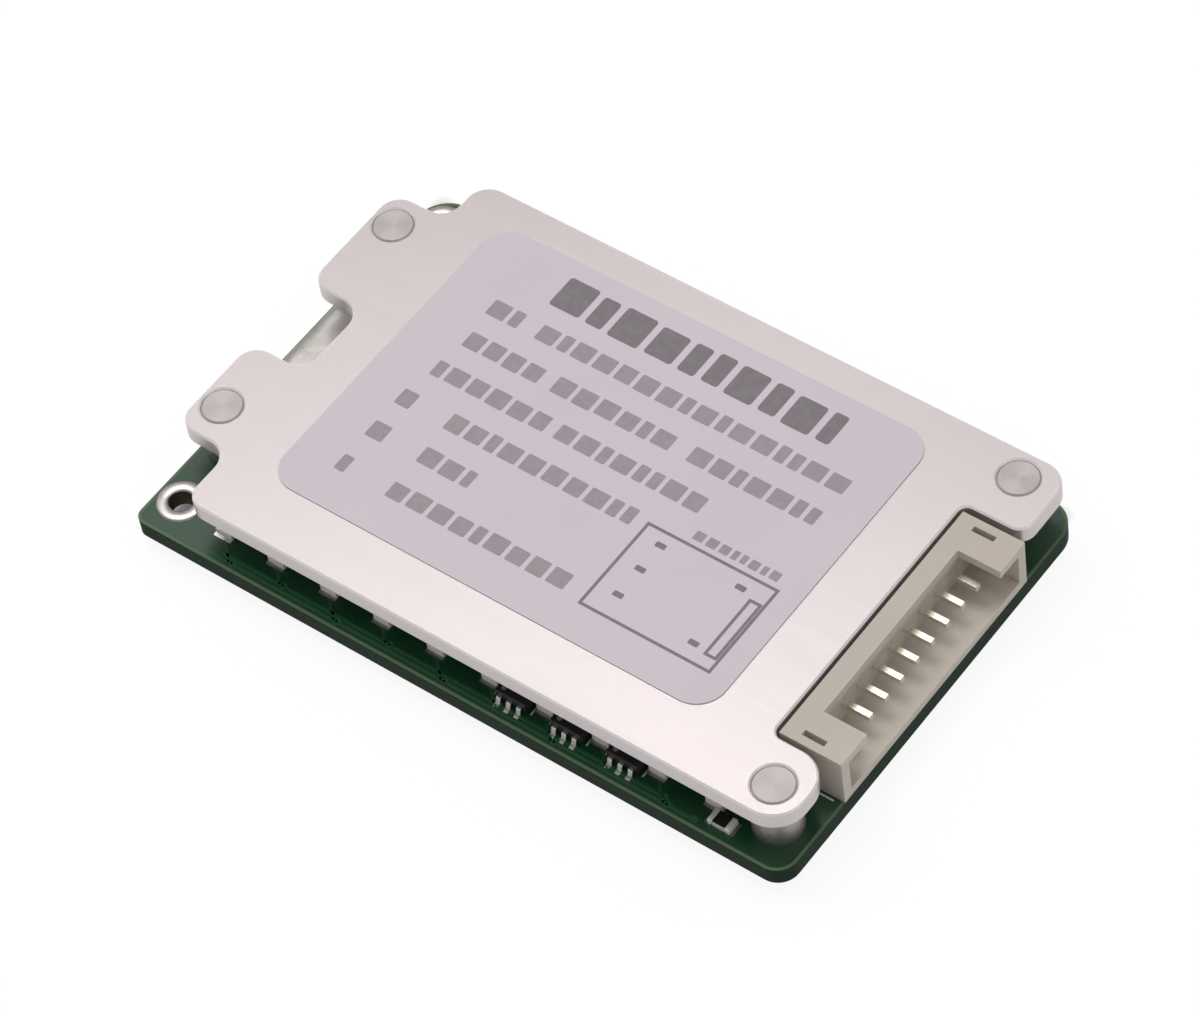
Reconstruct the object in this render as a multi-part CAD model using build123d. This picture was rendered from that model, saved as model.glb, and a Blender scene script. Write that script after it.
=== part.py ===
from build123d import *
import os

# A battery management board for ten cells in series: a circuit board that carries the chips, with an
# aluminium heat spreader plate held above it on four posts. Millimetres, +Z up. The origin is at the
# middle of the board's outline, on the plane of the four screw heads that it rests on. The balance
# socket is at the +X end and the wire terminals are at the -X end.

# Circuit board
board_length = 62.0
board_width = 39.2
board_thickness = 1.6
board_near_left_radius = 1.0
board_near_right_radius = 1.8
board_far_right_radius = 2.6
board_far_left_radius = 2.8

# Heat spreader plate
plate_thickness = 1.5
plate_edge_break = 0.15
plate_inset_right = 0.3
plate_inset_near = 1.0
plate_inset_far = 0.3
plate_body_inset_left = 5.4
plate_near_left_radius = 1.6
plate_far_left_radius = 2.0
plate_near_lobe_radius = 2.8
plate_far_lobe_radius = 2.3
plate_far_lobe_notch_radius = 1.3

# The plate's two tabs, which reach the board's left edge on each side of the middle wire pad
tab_notch_width = 7.3
near_tab_width = 9.4
far_tab_width = 11.0
tab_corner_radius = 1.8
tab_root_radius = 1.8

# Posts pressed into the plate, and the screws that come up through the board into them
post_height = 3.5
post_body_radius = 2.0
post_end_radius = 1.7
post_end_recess = 0.05
post_end_bevel = 0.12
post_fit_clearance = 0.02
post_bore_radius = 1.0
post_bore_depth = 4.0
left_post_inset = 2.1
near_left_post_setback = 3.2
far_left_post_setback = 2.8
near_right_post_inset = (2.8, 2.8)
far_right_post_inset = (3.4, 2.4)
screw_head_height = 1.3
screw_head_radius = 1.9
screw_head_rounding = 0.5
screw_shank_radius = 0.95
screw_engagement = 3.2
screw_hole_clearance = 0.15
screw_recess_span = 2.0
screw_recess_width = 0.5
screw_recess_depth = 0.7

# Balance socket: side entry, its mouth flush with the board's right edge
socket_positions = 11
socket_pitch = 2.0
socket_end_margin = 1.95
socket_depth = 5.5
socket_height = 4.8
socket_offset_y = 0.2
socket_rear_wall = 1.4
socket_wall = 0.8
socket_end_wall = 0.9
socket_roof_strip = 1.7
socket_window_width = 17.4
socket_slot = (2.0, 0.5)
socket_slot_setback = 2.5
socket_slot_end_inset = 0.95
socket_notch_end_clearance = 0.5
socket_notch_rear_clearance = 0.3
socket_notch_radius = 0.8
pin_side = 0.5
pin_height = 2.5
pin_setback = 1.5
pin_tail_behind_socket = 1.2
pin_tail_below_board = 0.8
pin_tip_bevel = 0.12
pin_hole_radius = 0.45
joint_top_radius = 0.8
joint_tip_radius = 0.45
joint_height = 0.6

# Wire terminals along the left edge
wire_hole_radius = 1.0
wire_ring_radius = 2.0
wire_ring_thickness = 0.1
wire_hole_inset_left = 2.2
near_wire_hole_inset = 3.3
far_wire_hole_inset = 2.6
wire_pad_length = 4.6
wire_pad_width = 12.0
wire_pad_edge_margin = 0.15
wire_pad_thickness = 0.15
wire_pad_corner_radius = 0.6

# Label on the plate
label_length = 41.8
label_width = 30.0
label_thickness = 0.1
label_corner_radius = 2.5
label_centre_x = -0.7
label_centre_y = 1.5

# Power transistors: one row under the plate, tabs to the far edge
mosfet_count = 6
mosfet_body = (6.6, 6.1, 2.3)
mosfet_tab = (5.3, 0.5)
mosfet_tab_reach = 1.2
mosfet_lead_spacing = 4.6
mosfet_lead = (0.8, 0.5)
mosfet_lead_reach = 2.7
mosfet_lead_rise = 0.6
mosfet_stub_reach = 0.8
mosfet_far_gap = 7.8
mosfet_row_left_gap = 2.3
mosfet_row_right_gap = 2.6
thermal_pad_overhang = 0.6

# Ten balance channels along the near edge, one column of parts each
channel_count = 10
first_channel_inset = 7.3
last_channel_gap = 2.4
bleed_resistor = (3.2, 1.6, 0.6)
bleed_end_length = 0.5
bleed_edge_gap = 2.4
small_transistor = (2.9, 1.3, 1.0)
small_transistor_span = 2.4
small_lead = (0.4, 0.15)
small_lead_spacing = 0.95
filter_resistor = (1.6, 0.8, 0.45)
filter_capacitor = (1.6, 0.8, 0.8)
filter_end_length = 0.3
filter_spacing = 1.4
row_gap = 0.5

# Three dark six-lead chips and one small resistor at the near edge
edge_chip = (2.9, 1.6, 1.1)
edge_chip_span = 2.8
edge_chip_edge_gap = 1.0
edge_chip_count = 3
edge_chip_skip_count = 5
edge_resistor = (2.0, 1.2, 0.55)
edge_resistor_end_length = 0.4
edge_resistor_edge_gap = 0.95
edge_resistor_offset = 1.4

# Two cell monitor chips in the middle of the board
monitor_body = (9.9, 3.9, 1.4)
monitor_span = 6.0
monitor_leads_per_side = 8
monitor_lead_pitch = 1.27
monitor_lead = (0.42, 0.2)
monitor_spacing = 18.0
monitor_middle_x = -4.0
chip_standoff = 0.1

# Far edge: three shunt resistors, a surge diode and a thermistor
shunt_count = 3
shunt_body = (6.3, 3.1, 0.7)
shunt_end_length = 0.9
shunt_gap = 1.6
far_row_edge_gap = 2.2
far_row_first_x = -14.0
diode_body = (4.4, 3.6, 2.2)
diode_lead = (2.0, 0.2)
diode_gap = 3.4
thermistor_body = (2.0, 1.2, 0.8)
thermistor_end_length = 0.4
thermistor_gap = 3.0
part_edge_rounding = 0.06

# Levels and edges that follow from the sizes above
board_bottom = screw_head_height
board_top = board_bottom + board_thickness
plate_bottom = board_top + post_height
plate_top = plate_bottom + plate_thickness
board_left, board_right = -board_length / 2, board_length / 2
board_near, board_far = -board_width / 2, board_width / 2
plate_left = board_left + plate_body_inset_left
plate_right = board_right - plate_inset_right
plate_near = board_near + plate_inset_near
plate_far = board_far - plate_inset_far
near_tab_top = -tab_notch_width / 2
near_tab_bottom = near_tab_top - near_tab_width
far_tab_bottom = tab_notch_width / 2
far_tab_top = far_tab_bottom + far_tab_width
socket_length = socket_pitch * (socket_positions - 1) + 2 * socket_end_margin
socket_rear = board_right - socket_depth
notch_left = socket_rear - socket_notch_rear_clearance
notch_near = socket_offset_y - socket_length / 2 - socket_notch_end_clearance
notch_far = socket_offset_y + socket_length / 2 + socket_notch_end_clearance
pin_tail_x = socket_rear - pin_tail_behind_socket
screw_hole_radius = screw_shank_radius + screw_hole_clearance

post_places = {
    "near_left": (board_left + left_post_inset, near_tab_bottom + near_left_post_setback),
    "far_left": (board_left + left_post_inset, far_tab_top - far_left_post_setback),
    "near_right": (plate_right - near_right_post_inset[0], plate_near + near_right_post_inset[1]),
    "far_right": (plate_right - far_right_post_inset[0], plate_far - far_right_post_inset[1]),
}
wire_hole_places = {
    "near": (board_left + wire_hole_inset_left, board_near + near_wire_hole_inset),
    "far": (board_left + wire_hole_inset_left, board_far - far_wire_hole_inset),
}
first_pin_y = socket_offset_y - socket_pitch * (socket_positions - 1) / 2
pin_places_y = [first_pin_y + socket_pitch * n for n in range(socket_positions)]

first_channel_x = board_left + first_channel_inset
last_channel_x = socket_rear - last_channel_gap
channel_pitch = (last_channel_x - first_channel_x) / (channel_count - 1)
channel_places_x = [first_channel_x + channel_pitch * n for n in range(channel_count)]
bleed_row_y = board_near + bleed_edge_gap + bleed_resistor[0] / 2
transistor_row_y = bleed_row_y + bleed_resistor[0] / 2 + row_gap + small_transistor_span / 2
filter_row_y = transistor_row_y + small_transistor_span / 2 + row_gap + filter_resistor[0] / 2

mosfet_row_y = board_far - mosfet_far_gap - mosfet_tab_reach - mosfet_body[1] / 2
mosfet_row_left = plate_left + mosfet_row_left_gap
mosfet_row_right = pin_tail_x - mosfet_row_right_gap
mosfet_pitch = (mosfet_row_right - mosfet_row_left - mosfet_body[0]) / (mosfet_count - 1)
mosfet_places_x = [mosfet_row_left + mosfet_body[0] / 2 + mosfet_pitch * n for n in range(mosfet_count)]
monitor_row_near = filter_row_y + filter_resistor[0] / 2
monitor_row_far = mosfet_row_y - mosfet_body[1] / 2 - mosfet_lead_reach
monitor_row_y = (monitor_row_near + monitor_row_far) / 2
far_row_y = board_far - far_row_edge_gap - shunt_body[1] / 2


def block(size, bottom=0.0):
    """A box centred on Z that stands on the given level."""
    return Pos(0, 0, bottom) * Box(*size, align=(Align.CENTER, Align.CENTER, Align.MIN))


def rod(radius, height, bottom=0.0):
    """A cylinder on Z that stands on the given level."""
    return Pos(0, 0, bottom) * Cylinder(radius, height, align=(Align.CENTER, Align.CENTER, Align.MIN))


def rounded_outline(corners):
    """A flat outline from (x, y, radius) corners; no radius takes more than its sides allow."""
    face = make_face(Polyline(*[(x, y) for x, y, _ in corners], close=True))
    for here, (x, y, radius) in enumerate(corners):
        before, after = corners[here - 1], corners[(here + 1) % len(corners)]
        shorter = min(abs(x - before[0]) + abs(y - before[1]), abs(x - after[0]) + abs(y - after[1]))
        if radius > 0:
            face = fillet(face.vertices().sort_by_distance((x, y))[0], min(radius, 0.49 * shorter))
    return face


def rounded_slab(length, width, thickness, radius):
    """A flat slab centred on Z with rounded upright corners."""
    half_x, half_y = length / 2, width / 2
    corners = [(-half_x, -half_y), (half_x, -half_y), (half_x, half_y), (-half_x, half_y)]
    return extrude(rounded_outline([(x, y, radius) for x, y in corners]), thickness)


def soft_block(size, bottom=0.0):
    """A moulded or fired block with its edges just broken."""
    shape = block(size, bottom)
    return fillet(shape.edges(), min(part_edge_rounding, 0.2 * min(size)))


def circuit_board():
    shape = extrude(rounded_outline([
        (board_left, board_near, board_near_left_radius),
        (board_right, board_near, board_near_right_radius),
        (board_right, board_far, board_far_right_radius),
        (board_left, board_far, board_far_left_radius),
    ]), board_thickness)
    for x, y in post_places.values():
        shape -= Pos(x, y) * rod(screw_hole_radius, board_thickness)
    for x, y in wire_hole_places.values():
        shape -= Pos(x, y) * rod(wire_hole_radius, board_thickness)
    for y in pin_places_y:
        shape -= Pos(pin_tail_x, y) * rod(pin_hole_radius, board_thickness)
    return Pos(0, 0, board_bottom) * shape


def heat_spreader_plate():
    outline = rounded_outline([
        (plate_left, plate_near, plate_near_left_radius),
        (plate_right, plate_near, plate_near_lobe_radius),
        (plate_right, notch_near, plate_near_lobe_radius),
        (notch_left, notch_near, socket_notch_radius),
        (notch_left, notch_far, socket_notch_radius),
        (plate_right, notch_far, plate_far_lobe_notch_radius),
        (plate_right, plate_far, plate_far_lobe_radius),
        (plate_left, plate_far, plate_far_left_radius),
        (plate_left, far_tab_top, tab_root_radius),
        (board_left, far_tab_top, tab_corner_radius),
        (board_left, far_tab_bottom, tab_corner_radius),
        (plate_left, far_tab_bottom, tab_root_radius),
        (plate_left, near_tab_top, tab_root_radius),
        (board_left, near_tab_top, tab_corner_radius),
        (board_left, near_tab_bottom, tab_corner_radius),
        (plate_left, near_tab_bottom, tab_root_radius),
    ])
    shape = extrude(outline, plate_thickness)
    for x, y in post_places.values():
        shape -= Pos(x, y) * rod(post_end_radius + post_fit_clearance, plate_thickness)
    shape = chamfer(shape.faces().sort_by(Axis.Z)[-1].edges(), plate_edge_break)
    return Pos(0, 0, plate_bottom) * shape


def spec_label():
    sheet = rounded_slab(label_length, label_width, label_thickness, label_corner_radius)
    return Pos(label_centre_x, label_centre_y, plate_top) * sheet


def post():
    """One post: a round body under the plate and a smaller end that fills the hole in the plate."""
    end = rod(post_end_radius, post_height + plate_thickness - post_end_recess)
    end = chamfer(end.edges().sort_by(Axis.Z)[-1], post_end_bevel)
    shape = rod(post_body_radius, post_height) + end
    return shape - rod(post_bore_radius, post_bore_depth)


def pan_head_screw():
    """One screw, head down at Z = 0, with a cross recess in its head."""
    head = rod(screw_head_radius, screw_head_height)
    head = fillet(head.edges().sort_by(Axis.Z)[0], screw_head_rounding)
    recess = block((screw_recess_span, screw_recess_width, screw_recess_depth))
    recess += block((screw_recess_width, screw_recess_span, screw_recess_depth))
    shank = rod(screw_shank_radius, board_thickness + screw_engagement, screw_head_height)
    return head - recess + shank


def balance_socket_housing():
    """The moulded shell, open at its +X mouth, with a wide window and two short slots in its roof."""
    middle = Pos(socket_rear + socket_depth / 2, socket_offset_y)
    shape = block((socket_depth, socket_length, socket_height))
    cavity_depth = socket_depth - socket_rear_wall
    cavity_length = socket_length - 2 * socket_end_wall
    cavity = block((cavity_depth, cavity_length, socket_height - 2 * socket_wall), socket_wall)
    shape -= Pos(socket_rear_wall / 2) * cavity
    window_depth = socket_depth - socket_roof_strip
    window = block((window_depth, socket_window_width, socket_height), socket_height - 2 * socket_wall)
    shape -= Pos(socket_roof_strip / 2) * window
    slot = block((*socket_slot, socket_wall), socket_height - socket_wall)
    slot_x = socket_slot_setback - socket_depth / 2
    for side in (-1, 1):
        shape -= Pos(slot_x, side * (socket_length / 2 - socket_slot_end_inset)) * slot
    shape = middle * shape
    pin_hole = block((3 * socket_rear_wall, pin_side, pin_side), pin_height - pin_side / 2)
    for y in pin_places_y:
        shape -= Pos(socket_rear, y) * pin_hole
    return Pos(0, 0, board_top) * shape


def socket_pin():
    """One square pin: level through the rear wall, then bent down through the board."""
    tip = board_right - pin_setback
    corner = pin_tail_x - pin_side / 2
    level = Pos((tip + corner) / 2) * block((tip - corner, pin_side, pin_side), pin_height - pin_side / 2)
    level = chamfer(level.faces().sort_by(Axis.X)[-1].edges(), pin_tip_bevel)
    drop = board_thickness + pin_tail_below_board
    tail = Pos(pin_tail_x) * block((pin_side, pin_side, drop + pin_height), -drop)
    return Pos(0, 0, board_top) * (level + tail)


def pin_solder_joint():
    """The solder cone round one pin's tail under the board."""
    cone = Pos(0, 0, joint_height / 2) * Cone(joint_tip_radius, joint_top_radius, joint_height)
    cone -= block((pin_side, pin_side, joint_height))
    return Pos(pin_tail_x, 0, board_bottom - joint_height) * cone


def wire_hole_rings():
    """The tinned rings of a plated wire hole, one on each face of the board."""
    ring = rod(wire_ring_radius, wire_ring_thickness) - rod(wire_hole_radius, wire_ring_thickness)
    return [Pos(0, 0, board_top) * ring, Pos(0, 0, board_bottom - wire_ring_thickness) * ring]


def middle_wire_pads():
    """The tinned pads between the plate's tabs, one on each face of the board."""
    pad = rounded_slab(wire_pad_length, wire_pad_width, wire_pad_thickness, wire_pad_corner_radius)
    x = board_left + wire_pad_edge_margin + wire_pad_length / 2
    return [Pos(x, 0, board_top) * pad, Pos(x, 0, board_bottom - wire_pad_thickness) * pad]


def mosfet_outer():
    """The moulded body of one power transistor, with its seat for the metal tab."""
    body = soft_block(mosfet_body)
    return body - block((mosfet_tab[0], mosfet_body[1], mosfet_tab[1]))


def mosfet_frame():
    """One power transistor's metal: the tab under the body, two leads and the cut middle lead."""
    width, length, _ = mosfet_body
    tab_length = length + mosfet_tab_reach
    tab = Pos(0, mosfet_tab_reach / 2) * block((mosfet_tab[0], tab_length, mosfet_tab[1]))
    front = -length / 2
    lead_width, lead_thickness = mosfet_lead
    lead = gull_lead(mosfet_lead_reach, mosfet_lead_rise, lead_width, lead_thickness)
    leads = [Pos(side * mosfet_lead_spacing / 2, front) * lead for side in (-1, 1)]
    stub = Pos(0, front - mosfet_stub_reach / 2) * block(
        (lead_width, mosfet_stub_reach, lead_thickness), mosfet_lead_rise)
    return [tab, stub, *leads]


def gull_lead(reach, rise, width, thickness):
    """A flat lead that leaves a body at its rise, towards -Y, and steps down to a foot on the board."""
    knee, heel = 0.25 * reach, 0.55 * reach
    lean = 0.4 * thickness
    profile = Polyline(
        (0, rise), (-knee, rise), (-heel, 0), (-reach, 0), (-reach, thickness), (-heel - lean, thickness),
        (-knee - lean, rise + thickness), (0, rise + thickness), close=True)
    return extrude(make_face(Plane.YZ * profile), width / 2, both=True)


def chip_part(size, end_length):
    """A chip resistor or capacitor along X: its ceramic middle and its two metal ends."""
    length, width, height = size
    middle = soft_block((length - 2 * end_length, width, height))
    end = soft_block((end_length, width, height))
    return middle, [Pos(side * (length - end_length) / 2) * end for side in (-1, 1)]


def leaded_chip(size, span, lead_size, places):
    """A moulded chip and its leads. Places are (x, side), where side -1 is towards -Y."""
    length, width, height = size
    body = soft_block((length, width, height - chip_standoff), chip_standoff)
    lead_width, lead_thickness = lead_size
    reach = (span - width) / 2
    lead = gull_lead(reach, 0.45 * height, lead_width, lead_thickness)
    turns = {-1: 0, 1: 180}
    leads = [Pos(x, side * width / 2) * Rot(0, 0, turns[side]) * lead for x, side in places]
    return body, leads


def on_board(shapes, x, y, turn=0):
    """Parts set down on the board's top at a place."""
    shapes = shapes if isinstance(shapes, list) else [shapes]
    return [Pos(x, y, board_top) * Rot(0, 0, turn) * shape for shape in shapes]


def thermal_pad():
    """The soft sheet between the power transistors and the plate."""
    length = mosfet_row_right - mosfet_row_left + 2 * thermal_pad_overhang
    size = (length, mosfet_body[1] + 2 * thermal_pad_overhang, post_height - mosfet_body[2])
    middle_x = (mosfet_row_left + mosfet_row_right) / 2
    return Pos(middle_x, mosfet_row_y, board_top + mosfet_body[2]) * block(size)


def power_transistors():
    nodes = {}
    for number, x in enumerate(mosfet_places_x):
        kind = "discharge" if number < mosfet_count // 2 else "charge"
        name = f"{kind}_transistor_{number % (mosfet_count // 2) + 1}"
        nodes[name] = on_board(mosfet_outer(), x, mosfet_row_y)
        nodes[name + "_frame"] = on_board(mosfet_frame(), x, mosfet_row_y)
    return nodes


def balance_channels():
    bleed, bleed_ends = chip_part(bleed_resistor, bleed_end_length)
    resistor, resistor_ends = chip_part(filter_resistor, filter_end_length)
    capacitor, capacitor_ends = chip_part(filter_capacitor, filter_end_length)
    lead_places = [(-small_lead_spacing, -1), (small_lead_spacing, -1), (0, 1)]
    transistor, leads = leaded_chip(small_transistor, small_transistor_span, small_lead, lead_places)
    names = ["bleed_resistors", "bleed_resistor_ends", "balance_transistors", "balance_transistor_leads",
             "filter_resistors", "filter_resistor_ends", "filter_capacitors", "filter_capacitor_ends"]
    nodes = {name: [] for name in names}
    for x in channel_places_x:
        nodes["bleed_resistors"] += on_board(bleed, x, bleed_row_y, 90)
        nodes["bleed_resistor_ends"] += on_board(bleed_ends, x, bleed_row_y, 90)
        nodes["balance_transistors"] += on_board(transistor, x, transistor_row_y)
        nodes["balance_transistor_leads"] += on_board(leads, x, transistor_row_y)
        nodes["filter_resistors"] += on_board(resistor, x - filter_spacing, filter_row_y, 90)
        nodes["filter_resistor_ends"] += on_board(resistor_ends, x - filter_spacing, filter_row_y, 90)
        nodes["filter_capacitors"] += on_board(capacitor, x, filter_row_y, 90)
        nodes["filter_capacitor_ends"] += on_board(capacitor_ends, x, filter_row_y, 90)
    return nodes


def near_edge_parts():
    lead_places = [(n * small_lead_spacing, side) for n in (-1, 0, 1) for side in (-1, 1)]
    chip, leads = leaded_chip(edge_chip, edge_chip_span, small_lead, lead_places)
    chip_y = board_near + edge_chip_edge_gap + edge_chip_span / 2
    nodes = {"edge_chips": [], "edge_chip_leads": []}
    for channel_x in channel_places_x[edge_chip_skip_count:edge_chip_skip_count + edge_chip_count]:
        x = channel_x + channel_pitch / 2
        nodes["edge_chips"] += on_board(chip, x, chip_y)
        nodes["edge_chip_leads"] += on_board(leads, x, chip_y)
    resistor, ends = chip_part(edge_resistor, edge_resistor_end_length)
    x = channel_places_x[-1] + edge_resistor_offset
    y = board_near + edge_resistor_edge_gap + edge_resistor[1] / 2
    nodes["edge_resistor"] = on_board(resistor, x, y)
    nodes["edge_resistor_ends"] = on_board(ends, x, y)
    return nodes


def cell_monitor_chips():
    first = -monitor_lead_pitch * (monitor_leads_per_side - 1) / 2
    along = [first + monitor_lead_pitch * n for n in range(monitor_leads_per_side)]
    lead_places = [(x, side) for x in along for side in (-1, 1)]
    chip, leads = leaded_chip(monitor_body, monitor_span, monitor_lead, lead_places)
    nodes = {}
    for name, side in (("lower", -1), ("upper", 1)):
        x = monitor_middle_x + side * monitor_spacing / 2
        nodes[f"{name}_monitor_chip"] = on_board(chip, x, monitor_row_y)
        nodes[f"{name}_monitor_chip_leads"] = on_board(leads, x, monitor_row_y)
    return nodes


def far_edge_parts():
    shunt, shunt_ends = chip_part(shunt_body, shunt_end_length)
    nodes = {"shunt_resistors": [], "shunt_resistor_ends": []}
    x = far_row_first_x
    for _ in range(shunt_count):
        nodes["shunt_resistors"] += on_board(shunt, x, far_row_y)
        nodes["shunt_resistor_ends"] += on_board(shunt_ends, x, far_row_y)
        x += shunt_body[0] + shunt_gap
    x += diode_gap + (diode_body[0] - shunt_body[0]) / 2
    length, width, height = diode_body
    foot_width, foot_thickness = diode_lead
    body = soft_block((length, width, height - foot_thickness), foot_thickness)
    foot = block((length / 4, foot_width, foot_thickness))
    feet = [Pos(side * 3 * length / 8) * foot for side in (-1, 1)]
    nodes["surge_diode"] = on_board(body, x, far_row_y)
    nodes["surge_diode_leads"] = on_board(feet, x, far_row_y)
    x += thermistor_gap + (length + thermistor_body[0]) / 2
    thermistor, thermistor_ends = chip_part(thermistor_body, thermistor_end_length)
    nodes["thermistor"] = on_board(thermistor, x, far_row_y)
    nodes["thermistor_ends"] = on_board(thermistor_ends, x, far_row_y)
    return nodes


def all_nodes():
    """Each node's name with its list of solids."""
    nodes = {"circuit_board": [circuit_board()], "heat_spreader_plate": [heat_spreader_plate()],
             "spec_label": [spec_label()], "thermal_pad": [thermal_pad()]}
    for corner, (x, y) in post_places.items():
        nodes[f"{corner}_post"] = [Pos(x, y, board_top) * post()]
        nodes[f"{corner}_screw"] = [Pos(x, y) * pan_head_screw()]
    nodes["balance_socket_housing"] = [balance_socket_housing()]
    nodes["balance_socket_pins"] = [Pos(0, y) * socket_pin() for y in pin_places_y]
    nodes["pin_solder_joints"] = [Pos(0, y) * pin_solder_joint() for y in pin_places_y]
    for side, (x, y) in wire_hole_places.items():
        nodes[f"{side}_wire_hole_rings"] = [Pos(x, y) * ring for ring in wire_hole_rings()]
    nodes["middle_wire_pads"] = middle_wire_pads()
    for group in (power_transistors, balance_channels, near_edge_parts, cell_monitor_chips, far_edge_parts):
        nodes.update(group())
    return nodes


os.makedirs("parts", exist_ok=True)
for name, solids in all_nodes().items():
    shape = solids[0] if len(solids) == 1 else Compound(children=solids)
    export_step(shape, f"parts/{name}.step")
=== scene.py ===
import math
import random
import bmesh
import bpy
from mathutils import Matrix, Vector


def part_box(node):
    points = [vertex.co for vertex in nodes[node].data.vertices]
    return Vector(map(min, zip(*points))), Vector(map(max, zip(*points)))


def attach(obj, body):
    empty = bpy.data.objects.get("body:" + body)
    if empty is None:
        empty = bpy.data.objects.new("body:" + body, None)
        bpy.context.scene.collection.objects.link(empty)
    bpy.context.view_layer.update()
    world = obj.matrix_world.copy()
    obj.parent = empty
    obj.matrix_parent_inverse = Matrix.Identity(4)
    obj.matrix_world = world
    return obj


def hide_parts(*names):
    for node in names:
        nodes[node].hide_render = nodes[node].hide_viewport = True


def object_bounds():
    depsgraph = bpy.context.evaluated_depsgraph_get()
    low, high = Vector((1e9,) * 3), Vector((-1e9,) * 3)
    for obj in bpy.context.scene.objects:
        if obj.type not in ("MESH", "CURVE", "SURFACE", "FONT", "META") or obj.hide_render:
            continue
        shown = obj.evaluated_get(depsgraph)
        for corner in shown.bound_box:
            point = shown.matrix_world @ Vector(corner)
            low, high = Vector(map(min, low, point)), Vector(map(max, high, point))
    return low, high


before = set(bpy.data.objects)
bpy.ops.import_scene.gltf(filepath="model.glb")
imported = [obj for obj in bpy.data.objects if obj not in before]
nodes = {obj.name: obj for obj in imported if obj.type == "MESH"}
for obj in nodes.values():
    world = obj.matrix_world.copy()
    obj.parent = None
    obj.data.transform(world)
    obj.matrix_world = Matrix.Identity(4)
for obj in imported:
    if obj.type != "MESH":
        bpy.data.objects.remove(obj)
cad_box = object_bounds()

# The camera
# It looks down on the board's near long edge and socket end, from the place that the photograph was
# taken from, with a longer lens, so that the board fills the picture.
camera_place = Vector((0.1649, -0.1704, 0.3045))
photo_azimuth = math.radians(32.10)
photo_elevation = math.radians(53.23)
lens_mm = 150.0
sensor_mm = 36.0
photo_forward = Vector((-math.sin(photo_azimuth) * math.cos(photo_elevation),
                        math.cos(photo_azimuth) * math.cos(photo_elevation),
                        -math.sin(photo_elevation)))
board_middle = (cad_box[0] + cad_box[1]) / 2
aim = (board_middle - camera_place).normalized()
bpy.ops.object.camera_add(location=camera_place)
camera = bpy.context.object
turn_to_board = photo_forward.rotation_difference(aim)
camera.rotation_euler = (turn_to_board @ photo_forward.to_track_quat("-Z", "Y")).to_euler()
camera.data.sensor_width = sensor_mm
camera.data.lens = lens_mm
camera.data.clip_start = 0.01
bpy.context.scene.camera = camera
bpy.context.scene.view_settings.view_transform = "Standard"


# The floor, the backdrop light and one wide soft box
# A white table top in a photo tent that is brighter above and beyond the board than on the camera's
# side. The table shows as white as in the photograph, apart from the part right under the board.


class Socket:
    """The output of a shader node. Python's operators on it add Math nodes."""

    def __init__(self, finish, link):
        self.finish = finish
        self.link = link

    def math(self, operation, *others, clamp=False):
        settings = {"operation": operation, "use_clamp": clamp}
        return self.finish.node("ShaderNodeMath", settings, dict(enumerate((self, *others))))

    def __add__(self, other):
        return self.math("ADD", other)

    def __sub__(self, other):
        return self.math("SUBTRACT", other)

    def __rsub__(self, other):
        return self.math("MULTIPLY_ADD", -1, other)

    def __mul__(self, other):
        return self.math("MULTIPLY", other)

    def __abs__(self):
        return self.math("ABSOLUTE")

    __radd__ = __add__
    __rmul__ = __mul__

    def over(self, edge, blur):
        """0 below the edge, 1 above it, with a soft step as wide as the blur."""
        return (self - edge).math("MULTIPLY_ADD", 1 / blur, 0.5, clamp=True)

    def at_least(self, other):
        return self.math("MAXIMUM", other)


class Finish:
    """A node tree being built: its last shader and the one method that adds any other node."""

    def __init__(self, tree, shader):
        self.tree = tree
        self.shader = shader

    def node(self, kind, settings, values, output=0):
        made = self.tree.nodes.new(kind)
        for name, value in settings.items():
            setattr(made, name, value)
        for name, value in values.items():
            self.feed(made.inputs[name], value)
        return Socket(self, made.outputs[output])

    def feed(self, socket, value):
        if isinstance(value, Socket):
            self.tree.links.new(value.link, socket)
        else:
            is_colour = socket.type == "RGBA" and len(value) == 3
            socket.default_value = (*value, 1) if is_colour else value

    def set(self, **sockets):
        for name, value in sockets.items():
            self.feed(self.shader.inputs[name.replace("_", " ")], value)

    def spot(self):
        """Where a point of the piece is, in metres in the object's frame."""
        return self.node("ShaderNodeTexCoord", {}, {}, "Object")

    def axes(self, vector):
        split = self.node("ShaderNodeSeparateXYZ", {}, {"Vector": vector}).link.node
        return [Socket(self, split.outputs[axis]) for axis in "XYZ"]

    def normal(self):
        return self.node("ShaderNodeNewGeometry", {}, {}, "Normal")

    def stretched(self, scale):
        """The spot with each axis scaled, for a pattern that is longer one way."""
        return self.node("ShaderNodeMapping", {}, {"Vector": self.spot(), "Scale": scale})

    def noise(self, size, detail=2.0, vector=None):
        """Cloudy noise from 0 to 1 whose lumps are about the given size in metres."""
        values = {"Vector": vector or self.spot(), "Scale": 1 / size, "Detail": detail}
        return self.node("ShaderNodeTexNoise", {}, values)

    def mix(self, mask, first, second):
        """The first colour where the mask is 0 and the second where it is 1."""
        values = {0: mask, 6: first, 7: second}
        return self.node("ShaderNodeMix", {"data_type": "RGBA"}, values, 2)

    def bump(self, height, distance, strength=1.0):
        values = {"Height": height, "Distance": distance, "Strength": strength}
        self.set(Normal=self.node("ShaderNodeBump", {}, values))


def new_finish(name, **sockets):
    material = bpy.data.materials.new(name)
    material.use_nodes = True
    finish = Finish(material.node_tree, material.node_tree.nodes["Principled BSDF"])
    finish.material = material
    finish.set(**sockets)
    return finish


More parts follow.
